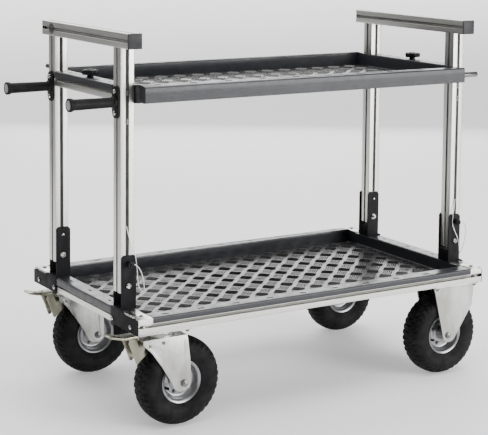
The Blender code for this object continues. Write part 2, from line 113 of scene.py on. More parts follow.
def texture(mat, scale, stretch=(1, 1, 1), detail=3.0, kind="ShaderNodeTexNoise"):
    """A texture in metres on the object's own coordinates."""
    nodes, links = mat.node_tree.nodes, mat.node_tree.links
    coords = nodes.new("ShaderNodeTexCoord")
    mapping = nodes.new("ShaderNodeMapping")
    mapping.inputs["Scale"].default_value = stretch
    tex = nodes.new(kind)
    tex.inputs["Scale"].default_value = scale
    if "Detail" in tex.inputs:
        tex.inputs["Detail"].default_value = detail
    links.new(coords.outputs["Object"], mapping.inputs["Vector"])
    links.new(mapping.outputs["Vector"], tex.inputs["Vector"])
    return tex.outputs[0]


def remap(mat, value, lo, hi, start=0.35, end=0.65):
    node = mat.node_tree.nodes.new("ShaderNodeMapRange")
    node.inputs["From Min"].default_value = start
    node.inputs["From Max"].default_value = end
    node.inputs["To Min"].default_value = lo
    node.inputs["To Max"].default_value = hi
    mat.node_tree.links.new(value, node.inputs["Value"])
    return node.outputs["Result"]


def tint(mat, value, low, high, start=0.35, end=0.65):
    """Blend the base colour between two colours along a texture."""
    ramp = mat.node_tree.nodes.new("ShaderNodeValToRGB")
    ramp.color_ramp.elements[0].position = start
    ramp.color_ramp.elements[0].color = (*low, 1.0)
    ramp.color_ramp.elements[1].position = end
    ramp.color_ramp.elements[1].color = (*high, 1.0)
    mat.node_tree.links.new(value, ramp.inputs["Fac"])
    shader = mat.node_tree.nodes["Principled BSDF"]
    mat.node_tree.links.new(ramp.outputs["Color"], shader.inputs["Base Color"])


def vary_roughness(mat, value, low, high):
    shader = mat.node_tree.nodes["Principled BSDF"]
    mat.node_tree.links.new(remap(mat, value, low, high), shader.inputs["Roughness"])


def bump(mat, value, distance, strength=1.0):
    node = mat.node_tree.nodes.new("ShaderNodeBump")
    node.inputs["Distance"].default_value = distance
    node.inputs["Strength"].default_value = strength
    mat.node_tree.links.new(value, node.inputs["Height"])
    shader = mat.node_tree.nodes["Principled BSDF"]
    mat.node_tree.links.new(node.outputs["Normal"], shader.inputs["Normal"])


def anodised(axis):
    """Satin anodised extrusion: fine die lines along the profile and faint cloudy patches."""
    mat = new_material("anodised_" + axis, 1.0, 0.34)
    fine = {"x": (0.02, 1, 1), "y": (1, 0.02, 1), "z": (1, 1, 0.02)}[axis]
    lines = texture(mat, 700, fine, 2.0)
    clouds = texture(mat, 14, fine, 4.0)
    tint(mat, clouds, (0.60, 0.595, 0.565), (0.70, 0.69, 0.66), 0.3, 0.7)
    vary_roughness(mat, texture(mat, 60, fine, 3.0), 0.28, 0.40)
    bump(mat, lines, 0.00004)
    return mat


def powder(name, dark, light, rough=0.34, gloss=0.25, coat=0.22):
    """Fine-texture powder coat: orange-peel grain, a clear sheen and dusty colour variation."""
    mat = new_material(name, 0.0, rough, Coat_Weight=coat, Coat_Roughness=0.14,
                       Specular_IOR_Level=gloss)
    grain = texture(mat, 900, detail=2.0)
    tint(mat, texture(mat, 1300, detail=1.0), dark, light, 0.42, 0.72)
    vary_roughness(mat, texture(mat, 35), rough - 0.05, rough + 0.10)
    bump(mat, grain, 0.00012, 0.7)
    return mat


def zinc(name, dark, light):
    """Zinc plate: pale, brushed upright, with a faint yellow and blue passivation."""
    mat = new_material(name, 1.0, 0.30)
    tint(mat, texture(mat, 13, (1, 1, 0.6), 4.0), dark, light, 0.33, 0.66)
    vary_roughness(mat, texture(mat, 45, (1, 1, 0.12)), 0.20, 0.38)
    bump(mat, texture(mat, 500, (1, 1, 0.05), 2.0), 0.00006)
    return mat


def steel(name, color, roughness):
    mat = new_material(name, 1.0, roughness)
    shade = tuple(c * 0.86 for c in color)
    tint(mat, texture(mat, 240, detail=2.0), shade, color)
    bump(mat, texture(mat, 1500, detail=1.0), 0.00002)
    return mat


def rubber(name, dark, light, rough, grain, gloss=0.14):
    """Moulded rubber or plastic: soft sheen, dusty patches and a fine grain; also the dark strips
    of painted slot shade.
    """
    mat = new_material(name, 0.0, rough, Specular_IOR_Level=gloss)
    tint(mat, texture(mat, 26, detail=5.0), dark, light, 0.36, 0.68)
    vary_roughness(mat, texture(mat, 90), rough - 0.08, rough + 0.08)
    bump(mat, texture(mat, grain, detail=2.0), 0.00008, 0.6)
    return mat


MATS = {
    "x": anodised("x"), "y": anodised("y"), "z": anodised("z"),
    "powder": powder("powder", (0.016, 0.017, 0.020), (0.050, 0.052, 0.060)),
    "tread": powder("tread", (0.022, 0.0215, 0.019), (0.050, 0.048, 0.043), 0.24, 0.42, 0.3),
    "bracket": powder("bracket", (0.008, 0.008, 0.009), (0.018, 0.018, 0.021), 0.58, 0.14, 0.0),
    "zinc": zinc("zinc", (0.40, 0.395, 0.36), (0.66, 0.67, 0.66)),
    "zinc_dark": zinc("zinc_dark", (0.14, 0.135, 0.09), (0.36, 0.35, 0.28)),
    "rod": steel("rod", (0.22, 0.22, 0.22), 0.36),
    "bolt": steel("bolt", (0.72, 0.72, 0.70), 0.22),
    "wire": steel("wire", (0.80, 0.80, 0.78), 0.30),
    "screw": steel("screw", (0.16, 0.16, 0.16), 0.38),
    "rim": steel("rim", (0.34, 0.34, 0.35), 0.34),
    "tyre": rubber("tyre", (0.004, 0.004, 0.0045), (0.013, 0.013, 0.013), 0.66, 420),
    "plastic": rubber("plastic", (0.006, 0.006, 0.007), (0.015, 0.015, 0.016), 0.44, 900),
    "grip": rubber("grip", (0.005, 0.005, 0.005), (0.012, 0.012, 0.013), 0.50, 1100),
    "cap": rubber("cap", (0.034, 0.034, 0.036), (0.058, 0.058, 0.061), 0.48, 900),
    # the dark strip material below is painted shade: it stands in for the dark insides of open
    # slots
    "slot_shade": rubber("slot_shade", (0.024, 0.024, 0.022), (0.046, 0.046, 0.042), 0.52, 700),
    "strip_light": rubber("strip_light", (0.20, 0.20, 0.18), (0.28, 0.28, 0.25), 0.42, 700),
    "disc": rubber("disc", (0.26, 0.26, 0.25), (0.38, 0.37, 0.36), 0.44, 600),
}


# ---- mesh helpers ------------------------------------------------------------
def piece(name, bm, body, mat, replaces=(), angle=35.0, recalc=True):
    """Turn a bmesh into a piece that rides on a body, smooth except at real corners."""
    bmesh.ops.remove_doubles(bm, verts=bm.verts, dist=1e-6)
    if recalc:
        bmesh.ops.recalc_face_normals(bm, faces=bm.faces)
    mesh = bpy.data.meshes.new(name)
    bm.to_mesh(mesh)
    bm.free()
    mesh.shade_smooth()
    mesh.set_sharp_from_angle(angle=math.radians(angle))
    mesh.materials.append(MATS[mat])
    obj = bpy.data.objects.new(name, mesh)
    bpy.context.scene.collection.objects.link(obj)
    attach(obj, body)
    if replaces:
        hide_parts(*replaces)
    return obj


def add_prism(bm, outline, axis, lo, hi):
    """Extrude a 2-D outline along an axis; outline axes are the other two in order."""
    def place(pt, t):
        a, b = pt
        return {"x": (t, a, b), "y": (a, t, b), "z": (a, b, t)}[axis]
    low = [bm.verts.new(place(pt, lo)) for pt in outline]
    high = [bm.verts.new(place(pt, hi)) for pt in outline]
    bm.faces.new(low)
    bm.faces.new(high)
    n = len(outline)
    for i in range(n):
        j = (i + 1) % n
        bm.faces.new((low[i], low[j], high[j], high[i]))


def add_lathe(bm, profile, centre, direction, steps, wobble=None):
    """Spin (along, radius) points about a direction; ends at zero radius close to a point."""
    axis = Vector(direction).normalized()
    turn = axis.to_track_quat("Z", "X").to_matrix()
    centre = Vector(centre)
    rings = []
    for along, radius in profile:
        if radius < 1e-7:
            rings.append([bm.verts.new(centre + axis * along)])
            continue
        ring = []
        for i in range(steps):
            a = 2 * math.pi * i / steps
            r = radius + (wobble(along, a) if wobble else 0.0)
            spot = turn @ Vector((r * math.cos(a), r * math.sin(a), along))
            ring.append(bm.verts.new(centre + spot))
        rings.append(ring)
    for low, high in zip(rings, rings[1:]):
        for i in range(steps):
            j = (i + 1) % steps
            if len(low) == 1 and len(high) > 1:
                bm.faces.new((low[0], high[i], high[j]))
            elif len(high) == 1 and len(low) > 1:
                bm.faces.new((low[i], low[j], high[0]))
            elif len(low) > 1:
                bm.faces.new((low[i], low[j], high[j], high[i]))


def close_rings(bm, rings):
    """Join equal rings of vertices into a closed tube, the last one back to the first."""
    for low, high in zip(rings, rings[1:] + rings[:1]):
        for i in range(len(low)):
            j = (i + 1) % len(low)
            bm.faces.new((low[i], low[j], high[j], high[i]))


def rect(x0, x1, y0, y1):
    return [(x0, y0), (x1, y0), (x1, y1), (x0, y1)]


def stadium(cx, cy, half_x, half_y, n=5):
    """A slot outline, long along its larger half size."""
    r = min(half_x, half_y)
    dx, dy = half_x - r, half_y - r
    points = []
    for quarter, (sx, sy) in enumerate(((1, 1), (-1, 1), (-1, -1), (1, -1))):
        for k in range(n + 1):
            a = math.pi / 2 * (quarter + k / n)
            spot = (cx + sx * dx + r * math.cos(a), cy + sy * dy + r * math.sin(a))
            if not points or math.dist(points[-1], spot) > 1e-6:
                points.append(spot)
    if math.dist(points[0], points[-1]) < 1e-6:
        points.pop()
    return points


def soften(bm, width, segments=2, angle=25.0):
    """Round every real edge of a solid a little."""
    bmesh.ops.remove_doubles(bm, verts=bm.verts, dist=1e-6)
    bmesh.ops.dissolve_limit(bm, angle_limit=math.radians(1.0), verts=bm.verts, edges=bm.edges)
    sharp = [e for e in bm.edges
             if len(e.link_faces) == 2 and e.calc_face_angle(0.0) > math.radians(angle)]
    bmesh.ops.bevel(bm, geom=sharp, offset=width, segments=segments, profile=0.5,
                    affect="EDGES", clamp_overlap=True)


def refined(node, body, mat, width=0.0007, segments=2, extra=None):
    """A CAD solid with its edges rounded, and any extra detail added to the same piece."""
    bm = bmesh.new()
    bm.from_mesh(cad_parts[node].data)
    soften(bm, width, segments)
    if extra:
        extra(bm)
    return piece(node + "_skin", bm, body, mat, (node,))


def baked(name, bm, cutter):
    """Cut one bmesh with another and return the result."""
    objs = []
    for key, mesh_source in (("a", bm), ("b", cutter)):
        mesh = bpy.data.meshes.new(name + key)
        bmesh.ops.recalc_face_normals(mesh_source, faces=mesh_source.faces)
        mesh_source.to_mesh(mesh)
        mesh_source.free()
        obj = bpy.data.objects.new(name + key, mesh)
        bpy.context.scene.collection.objects.link(obj)
        objs.append(obj)
    solid, tool = objs
    mod = solid.modifiers.new("cut", "BOOLEAN")
    mod.object = tool
    mod.solver = "EXACT"
    graph = bpy.context.evaluated_depsgraph_get()
    result = bmesh.new()
    result.from_mesh(solid.evaluated_get(graph).to_mesh())
    for obj in objs:
        mesh = obj.data
        bpy.data.objects.remove(obj)
        bpy.data.meshes.remove(mesh)
    return result


# ---- fasteners ---------------------------------------------------------------
def add_cap_screw(bm, centre, direction, r, h):
    """A domed socket screw head with its hex-sized recess."""
    profile = [(0.0, r * 0.98), (h * 0.45, r), (h * 0.80, r * 0.84), (h, r * 0.55),
               (h * 0.96, r * 0.46), (h * 0.45, r * 0.42), (h * 0.40, 0.0)]
    add_lathe(bm, profile, centre, direction, 14)


def add_hex_head(bm, centre, direction, r, h, shaft=0.0):
    """A chamfered hexagon head or nut, with the end of its bolt when shaft is given."""
    axis = Vector(direction).normalized()
    add_lathe(bm, [(0.0, r * 1.18), (h * 0.12, r * 1.18), (h * 0.13, 0.0)], centre, axis, 16)
    add_lathe(bm, [(h * 0.12, r), (h * 0.86, r), (h, r * 0.84), (h, 0.0)], centre, axis, 6)
    if shaft:
        add_lathe(bm, [(h, shaft), (h * 1.35, shaft), (h * 1.5, shaft * 0.8), (h * 1.5, 0.0)],
                  centre, axis, 12)


# ---- T-slot profile -----------------------------------------------------------
def slot_section():
    """The profile's outline with rounded corners and chamfered slot lips."""
    h = P / 2
    r = 0.0022
    c = 0.0005
    quarter = []
    for k in range(5):
        a = math.pi / 2 * (1 - k / 4)
        quarter.append((h - r + r * math.cos(a), h - r + r * math.sin(a)))
    quarter += [(h, SLOT + c), (h - c, SLOT), (h - SLOT_LIP, SLOT), (h - SLOT_LIP, SLOT_IN),
                (h - SLOT_D, SLOT_IN - 0.005), (h - SLOT_D, -SLOT_IN + 0.005),
                (h - SLOT_LIP, -SLOT_IN), (h - SLOT_LIP, -SLOT), (h - c, -SLOT),
                (h, -SLOT - c)]
    outline = []
    for k in range(4):
        cos_k = round(math.cos(-k * math.pi / 2))
        sin_k = round(math.sin(-k * math.pi / 2))
        outline += [(cos_k * a - sin_k * b, sin_k * a + cos_k * b) for a, b in quarter]
    return outline


SECTION = slot_section()


def extrusion(node, body):
    """One length of profile, with its core bore sunk into both cut ends."""
    lo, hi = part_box(node)
    size = hi - lo
    k = max(range(3), key=lambda i: size[i])
    axis = "xyz"[k]
    a, b = [i for i in range(3) if i != k]
    mid = (lo + hi) / 2
    bm = bmesh.new()
    outline = [(u + mid[a], w + mid[b]) for u, w in SECTION]
    add_prism(bm, outline, axis, lo[k], hi[k])
    direction = Vector([1.0 if i == k else 0.0 for i in range(3)])
    for spot, sign in ((lo[k], -1), (hi[k], 1)):
        centre = mid.copy()
        centre[k] = spot
        add_lathe(bm, [(0.0, 0.0), (0.00015, 0.0050), (0.0002, 0.0058), (0.0, 0.0064)],
                  centre, direction * sign, 14)
    piece(node + "_skin", bm, body, axis, (node,))


def add_strip(bm, axis, centre, face_axis, sign, lo, hi, width=0.0094, sink=0.0004):
    """A strip in a slot: a shallow arched face with two clip legs in the slot; the pale ones are
    cover strips, the dark ones are painted shade over open slots.
    """
    w = width / 2
    depth = 0.0035
    arch = [(w, -0.0006), (w - 0.0006, 0.0), (w * 0.45, 0.00025), (0.0, 0.0003),
            (-w * 0.45, 0.00025), (-w + 0.0006, 0.0), (-w, -0.0006), (-w, -depth), (w, -depth)]
    pair = [c for c in "xyz" if c != axis]
    outline = []
    for across, out in arch:
        offset = sign * (P / 2 - sink + out)
        if face_axis == pair[0]:
            outline.append((centre[0] + offset, centre[1] + across))
        else:
            outline.append((centre[0] + across, centre[1] + offset))
    add_prism(bm, outline, axis, lo, hi)


def frame_profiles():
    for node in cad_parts:
        if node.startswith(("base_side", "base_end", "upright", "top_rail")):
            extrusion(node, "frame")
        if node.startswith("crossbar"):
            extrusion(node, "shelf")


def cover_strips_and_slot_shade():
    """Pale cover strips in the base, rails and end slots; dark strips of painted shade over the
    uprights' open side slots and the base's top slots.
    """
    dark = bmesh.new()
    pale = bmesh.new()
    for tag, sx, sy in CORNERS:
        lo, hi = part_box("upright_" + tag)
        c = ((lo.x + hi.x) / 2, (lo.y + hi.y) / 2)
        foot = BR_HI.z + 0.002
        # dark strips: painted shade of the open side slots
        add_strip(dark, "z", c, "y", sy, foot, hi.z - 0.001, *SLOT_SHADE_STRIP)
        add_strip(dark, "z", c, "y", -sy, foot, hi.z - 0.001, *SLOT_SHADE_STRIP)
        add_strip(pale, "z", c, "x", sx, lo.z + 0.002, hi.z - 0.001, *PALE_STRIP)
        add_strip(pale, "z", c, "x", -sx, foot, hi.z - 0.001, *PALE_STRIP)
    for tag, sx in (("L", -1), ("E", 1)):
        lo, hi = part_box("top_rail_" + tag)
        c = ((lo.x + hi.x) / 2, (lo.z + hi.z) / 2)
        far = hi.y - 0.030 if tag == "L" else hi.y
        add_strip(pale, "y", c, "x", sx, lo.y, far, *PALE_STRIP)
        add_strip(pale, "y", c, "x", -sx, lo.y, hi.y, *PALE_STRIP)
        add_strip(pale, "y", c, "z", 1, lo.y, hi.y, *PALE_STRIP)
    for s, node in ((-1, "base_side_F"), (1, "base_side_R")):
        lo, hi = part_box(node)
        c = ((lo.y + hi.y) / 2, (lo.z + hi.z) / 2)
        # dark strip: painted shade of the open top slot, seen through the tray's flange slots
        add_strip(dark, "x", c, "z", 1, lo.x + 0.050, hi.x - 0.050, *TOP_SLOT_SHADE)
        add_strip(pale, "x", c, "y", s, lo.x + P, hi.x - P, *PALE_STRIP)
    # the dark piece is painted slot shade, the pale piece real cover strips
    piece("slot_shade_strips", dark, "frame", "slot_shade")
    piece("cover_strips_pale", pale, "frame", "strip_light")


def slot_hardware():
    """Screws in the open slot ends, slot bolts on the uprights and the rail's corner joiner."""
    screws = bmesh.new()
    dark = bmesh.new()
    zc = (Z_BASE + Z_BTOP) / 2
    for tag, sx, sy in CORNERS:
        x = MID_X + sx * (XL - 0.021)
        face = sy * (YW - SLOT_LIP)
        add_cap_screw(screws, (x, face - sy * 0.004, zc), (0, sy, 0), 0.0062, 0.0052)
    heights = {"FL": (0.990, 0.906), "FE": (0.944, 0.903), "RL": (0.906,), "RE": (0.903,)}
    for tag, sx, sy in CORNERS:
        lo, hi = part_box("upright_" + tag)
        cx = (lo.x + hi.x) / 2
        y = sy * (UY1 - 0.0002)
        for z in heights[tag]:
            add_prism(dark, stadium(cx, z, 0.0062, 0.0074), "y", *sorted((y, y + sy * 0.0012)))
            add_cap_screw(dark, (cx, y + sy * 0.0010, z), (0, sy, 0), 0.0052, 0.0026)
    y = (UY0 + UY1) / 2
    zr = (RAIL_LO.z + RAIL_HI.z) / 2
    x = MID_X - XL
    add_lathe(dark, [(-0.001, 0.0175), (0.0012, 0.0175), (0.0018, 0.0165), (0.0016, 0.0120),
                     (0.0008, 0.0115), (0.0008, 0.0085), (0.0030, 0.0080), (0.0030, 0.0045),
                     (0.0004, 0.0040), (0.0004, 0.0)], (x, y, zr), (-1, 0, 0), 24)
    piece("slot_end_screws", screws, "frame", "bolt")
    piece("slot_bolts", dark, "frame", "screw")


# ---- trays ---------------------------------------------------------------------
class SheetNet:
    """A mid-surface of flat panels that share corners, for a bent sheet part."""

    def __init__(self):
        self.bm = bmesh.new()
        self.spots = {}

    def vert(self, p):
        key = tuple(round(c, 5) for c in p)
        if key not in self.spots:
            self.spots[key] = self.bm.verts.new(p)
        return self.spots[key]

    def panel(self, *points):
        return self.bm.faces.new([self.vert(p) for p in points])

    def bend(self, radius_of, segments=4):
        """Round each fold by the radius that radius_of gives for its two ends."""
        self.bm.normal_update()
        groups = {}
        for e in self.bm.edges:
            if len(e.link_faces) == 2 and e.calc_face_angle(0.0) > 0.3:
                radius = radius_of(e.verts[0].co, e.verts[1].co)
                groups.setdefault(radius, []).append(e)
        for radius in sorted(groups, reverse=True):
            edges = [e for e in groups[radius] if e.is_valid]
            bmesh.ops.bevel(self.bm, geom=edges, offset=radius, segments=segments, profile=0.5,
                            affect="EDGES", clamp_overlap=True)

    def thicken(self, name, thickness):
        """Give the sheet its thickness on both sides of the mid-surface."""
        bmesh.ops.recalc_face_normals(self.bm, faces=self.bm.faces)
        mesh = bpy.data.meshes.new(name)
        self.bm.to_mesh(mesh)
        self.bm.free()
        obj = bpy.data.objects.new(name, mesh)
        bpy.context.scene.collection.objects.link(obj)
        mod = obj.modifiers.new("sheet", "SOLIDIFY")
        mod.thickness = thickness
        mod.offset = 0.0
        mod.use_even_offset = True
        graph = bpy.context.evaluated_depsgraph_get()
        result = bmesh.new()
        result.from_mesh(obj.evaluated_get(graph).to_mesh())
        bpy.data.objects.remove(obj)
        bpy.data.meshes.remove(mesh)
        return result


def lower_tray():
    """Pressed tray: welded well, bent flanges on the profiles and a turned-down lip."""
    t = SHEET / 2
    xi = XL - P - 0.001 - t
    yi = YW - P - 0.001 - t
    zf = Z_BASE + 0.0055 + t
    zt = LOW_HI.z - t
    zl = zt - 0.0225
    z_side = zt - 0.0165
    yo = YW + GAP + t
    xo = XL + GAP + t
    y_wide = UY1 + 0.0055
    y_lip = UY0 - 0.011
    x_step = XL - 0.003
    net = SheetNet()

    def spot(x, y, z):
        return (MID_X + x, y, z)

    ys = (-yi, -y_wide, -y_lip, y_lip, y_wide, yi)
    ring_low = ([(-xi, y) for y in ys] + [(xi, y) for y in reversed(ys)])
    net.panel(*[spot(x, y, zf) for x, y in ring_low])
    for s in (-1, 1):
        net.panel(spot(-xi, s * yi, zf), spot(xi, s * yi, zf), spot(xi, s * yi, zt),
                  spot(-xi, s * yi, zt))
        net.panel(spot(-xi, s * yi, zt), spot(xi, s * yi, zt), spot(xi, s * yo, zt),
                  spot(-xi, s * yo, zt))
        net.panel(spot(-xi, s * yo, zt), spot(xi, s * yo, zt), spot(xi, s * yo, z_side),
                  spot(-xi, s * yo, z_side))
        net.panel(*[spot(s * xi, y, zf) for y in ys], *[spot(s * xi, y, zt) for y in reversed(ys)])
        net.panel(*[spot(s * xi, y, zt) for y in ys[1:5]], spot(s * x_step, y_wide, zt),
                  spot(s * x_step, y_lip, zt), spot(s * xo, y_lip, zt), spot(s * xo, -y_lip, zt),
                  spot(s * x_step, -y_lip, zt), spot(s * x_step, -y_wide, zt))
        net.panel(spot(s * xo, -y_lip, zt), spot(s * xo, y_lip, zt), spot(s * xo, y_lip, zl),
                  spot(s * xo, -y_lip, zl))
    net.bend(lambda a, b: 0.0035)
    solid = net.thicken("lower_tray", SHEET)
    cutter = bmesh.new()
    pitch = 2 * xi / 9.83
    for s in (-1, 1):
        for k in range(10):
            x = MID_X + (k - 4.5) * pitch
            add_prism(cutter, stadium(x, s * 0.345, 0.0125, 0.0044), "z", zt - 0.004, zt + 0.004)
        for y in (-0.134, 0.0, 0.134):
            x = MID_X + s * (XL - P / 2)
            add_prism(cutter, stadium(x, y, 0.0033, 0.0105), "z", zt - 0.004, zt + 0.004)
    piece("lower_tray_skin", baked("low", solid, cutter), "frame", "powder", ("lower_tray",))
    return zf + t, xi - t, yi - t


def upper_tray():
    """Tray with a boxed rim along each side and a clamped flange over each crossbar."""
    t = SHEET / 2
    x_end = (TRAY_HI.x - TRAY_LO.x) / 2
    xt = XL - P - 0.0015 - t
    yo = TRAY_HI.y - t
    yi = yo - 0.036 + SHEET
    zf = TRAY_LO.z + 0.003
    zt = TRAY_HI.z - t
    zl = zt - 0.0205
    zs = TRAY_LO.z
    y_fl = UY0 - 0.002
    xo = x_end - t
    net = SheetNet()

    def spot(x, y, z):
        return (MID_X + x, y, z)

    ys = (-yi, -y_fl, y_fl, yi)
    net.panel(*[spot(-xt, y, zf) for y in ys], *[spot(xt, y, zf) for y in reversed(ys)])
    groove = zt - 0.0175
    for s in (-1, 1):
        net.panel(spot(-xt, s * yi, zf), spot(xt, s * yi, zf), spot(xt, s * yi, zt),
                  spot(-xt, s * yi, zt))
        net.panel(spot(-xt, s * yi, zt), spot(xt, s * yi, zt), spot(xt, s * yo, zt),
                  spot(-xt, s * yo, zt))
        net.panel(spot(-xt, s * yo, zt), spot(xt, s * yo, zt), spot(xt, s * yo, zs),
                  spot(-xt, s * yo, zs))
        net.panel(*[spot(s * xt, y, zf) for y in ys], *[spot(s * xt, y, zt) for y in reversed(ys)])
        net.panel(spot(s * xt, -y_fl, zt), spot(s * xt, y_fl, zt), spot(s * xo, y_fl, zt),
                  spot(s * xo, -y_fl, zt))
        net.panel(spot(s * xo, -y_fl, zt), spot(s * xo, y_fl, zt), spot(s * xo, y_fl, zl),
                  spot(s * xo, -y_fl, zl))
    net.bend(lambda a, b: 0.0045 if abs(abs(a.y) + abs(b.y) - 2 * yo) < 1e-4 else 0.003)
    solid = net.thicken("upper_tray", SHEET)
    cutter = bmesh.new()
    pitch = 2 * xt / 9.83
    for s in (-1, 1):
        for k in range(10):
            x = MID_X + (k - 4.5) * pitch
            add_prism(cutter, stadium(x, s * (yi + 0.0125), 0.0125, 0.0044), "z", zt - 0.004,
                      zt + 0.004)
        add_prism(cutter, stadium(MID_X + s * (XL - P / 2), 0.0, 0.0056, 0.0054), "z", zt - 0.004,
                  zt + 0.004)
        for y in (-0.134, 0.134):
            add_prism(cutter, stadium(MID_X + s * (XL - P / 2), y, 0.0033, 0.0105), "z",
                      zt - 0.004, zt + 0.004)
        y0, y1 = sorted((s * (yo + t - 0.0006), s * (yo + t + 0.001)))
        add_prism(cutter, rect(y0, y1, groove - 0.0007, groove + 0.0007), "x", MID_X - xt - 0.01,
                  MID_X + xt + 0.01)
    piece("upper_tray_skin", baked("up", solid, cutter), "shelf", "powder", ("upper_tray",))
    ends = bmesh.new()
    for sx in (-1, 1):
        for sy in (-1, 1):
            y0, y1 = sorted((sy * (yi - t), sy * (yo + t - 0.0012)))
            x0, x1 = sorted((MID_X + sx * (xt - t), MID_X + sx * (xt + t)))
            add_prism(ends, rim_end(y0, y1, zs, zt + t - 0.0006, sy), "x", x0, x1)
    soften(ends, 0.0005)
    piece("upper_tray_rim_ends", ends, "shelf", "powder")
    return zf + t, xt - t, yi - t


def rim_end(y0, y1, z0, z1, sy):
    """Outline of the plate that closes the boxed rim, with its rounded outer corner."""
    r = 0.0045
    outer = y1 if sy > 0 else y0
    inner = y0 if sy > 0 else y1
    points = [(inner, z0), (inner, z1)]
    for k in range(5):
        a = math.pi / 2 * (1 - k / 4)
        points.append((outer - sy * r + sy * r * math.cos(a), z1 - r + r * math.sin(a)))
    return points + [(outer, z0)]


def tread(name, body, floor_z, x_half, y_half):
    """Five-bar tread pattern, set as a basket weave at 45 degrees."""
    cell = 0.0489
    pitch = 0.0064
    length = 0.0405
    width = 0.0046
    height = 0.0027
    root = math.sqrt(0.5)
    along = Vector((root, -root, 0))
    across = Vector((root, root, 0))
    anchor = Vector((MID_X - 0.169, 0.1024, floor_z))
    bm = bmesh.new()
    reach = int((x_half + y_half) / cell) + 3
    for i in range(-reach, reach):
        for j in range(-reach, reach):
            centre = anchor + along * (cell * i) + across * (cell * j)
            if abs(centre.x - MID_X) > x_half + cell or abs(centre.y) > y_half + cell:
                continue
            run, step = (along, across) if (i + j) % 2 == 0 else (across, along)
            for k in range(-2, 3):
                add_bar(bm, centre + step * (pitch * k), run, step, length, width, height,
                        x_half - 0.004, y_half - 0.004)
    piece(name, bm, body, "tread", recalc=False, angle=20.0)


def add_bar(bm, mid, run, side, length, width, height, x_half, y_half):
    """One raised bar, cut short where it meets the edge of the floor."""
    ends = [-length / 2, length / 2]
    for k, sign in ((0, -1), (1, 1)):
        for axis, limit, zero in ((0, x_half, MID_X), (1, y_half, 0.0)):
            slope = run[axis]
            start = mid[axis] - zero
            if abs(start) > limit:
                return
            room = (limit * math.copysign(1, slope * sign) - start) / slope
            ends[k] = sign * min(abs(ends[k]), abs(room))
    if ends[1] - ends[0] < 3 * width:
        return
    w = side * (width / 2)
    up = Vector((0, 0, height))
    a = mid + run * ends[0]
    b = mid + run * ends[1]
    a2 = a + run * width * 0.8
    b2 = b - run * width * 0.8
    flip = run.cross(side).z < 0
    v = [bm.verts.new(p) for p in (a, a2 - w, b2 - w, b, b2 + w, a2 + w, a2 + up, b2 + up)]
    for ids in ((1, 2, 7, 6), (4, 5, 6, 7), (0, 1, 6), (0, 6, 5), (3, 4, 7), (3, 7, 2)):
        face = [v[i] for i in ids]
        bm.faces.new(list(reversed(face)) if flip else face)


# ---- brackets and their bolts -------------------------------------------------------
def brackets():
    bolts = bmesh.new()
    for tag, sx, sy in CORNERS:
        refined("bracket_" + tag, "frame", "bracket", 0.0012, 3)
        face = MID_X + sx * (XL + GAP + PLATE)
        for y in (UY0 + 0.0016, YW - 0.043):
            add_cap_screw(bolts, (face, sy * y, Z_BASE + 0.0143), (sx, 0, 0), 0.0064, 0.0042)
        x = MID_X + sx * PIN_X
        outer = sy * (UY1 + GAP + 0.0045)
        inner = sy * (UY0 - GAP - 0.0045)
        pivot = bmesh.new()
        add_cap_screw(pivot, (x, outer, Z_PIVOT), (0, sy, 0), 0.0090, 0.0072)
        add_hex_head(pivot, (x, inner, Z_PIVOT), (0, -sy, 0), 0.0078, 0.0066, 0.0042)
        add_lathe(pivot, [(0.0, 0.0), (0.0, 0.0049), (UY1 - UY0 + 0.009, 0.0049),
                          (UY1 - UY0 + 0.009, 0.0)], (x, inner, Z_PIVOT), (0, sy, 0), 14)
        piece("pivot_%s_skin" % tag, pivot, "frame", "bolt", ("pivot_" + tag,))
        corner_plate(tag, sx, sy)
    piece("end_plate_screws", bolts, "frame", "bolt")


def corner_plate(tag, sx, sy):
    """Bright plate over the mitre of the base, with two dark countersunk screws."""
    z0 = Z_BTOP + GAP
    z1 = z0 + 0.0024
    x0, x1 = sorted((MID_X + sx * (XL - 0.0008), MID_X + sx * (XL - P + 0.0018)))
    y0, y1 = sorted((sy * (YW - 0.0008), sy * (UY1 + 0.0085)))
    bm = bmesh.new()
    add_prism(bm, rect(x0, x1, y0, y1), "z", z0, z1)
    soften(bm, 0.0007)
    piece("corner_plate_" + tag, bm, "frame", "zinc")
    screws = bmesh.new()
    for f in (0.25, 0.75):
        add_lathe(screws, [(-0.0002, 0.0066), (0.0014, 0.0066), (0.0026, 0.0056),
                           (0.0026, 0.0036), (0.0006, 0.0034), (0.0004, 0.0)],
                  ((x0 + x1) / 2, y0 + f * (y1 - y0), z1), (0, 0, 1), 14)
    piece("corner_screws_" + tag, screws, "frame", "screw")


# ---- pins, knobs and handles --------------------------------------------------------
def lock_pin(tag, sy):
    """Quick-release pin: knurled knob, pull ring boss and a bright ball-lock tip."""
    lo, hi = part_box("lock_pin_" + tag)
    start = UY1 + GAP + PLATE + 0.0006
    x = (lo.x + hi.x) / 2

    def knurl(along, a):
        return 0.0004 * math.cos(12 * a) - 0.0004 if 0.011 < along < 0.020 else 0.0

    bm = bmesh.new()
    add_lathe(bm, [(0.0, 0.0), (0.0, 0.0072), (0.0012, 0.0079), (0.0100, 0.0079),
                   (0.0112, 0.0070), (0.0120, 0.0092), (0.0130, 0.0098), (0.0185, 0.0098),
                   (0.0200, 0.0090), (0.0208, 0.0062), (0.0208, 0.0042), (0.0250, 0.0038),
                   (0.0259, 0.0026), (0.0260, 0.0)],
              (x, sy * start, Z_PIN), (0, sy, 0), 24, knurl)
    piece("lock_pin_%s_skin" % tag, bm, "pin_" + tag, "plastic", ("lock_pin_" + tag,))
    tip = bmesh.new()
    back = start - (hi.y - lo.y) + 0.0265
    add_lathe(tip, [(0.0, 0.0), (0.0006, 0.0030), (0.0018, 0.0044), (0.0060, 0.0046),
                    (start - back + 0.0002, 0.0046), (start - back + 0.0004, 0.0)],
              (x, sy * back, Z_PIN), (0, sy, 0), 16)
    piece("lock_pin_tip_" + tag, tip, "pin_" + tag, "bolt")


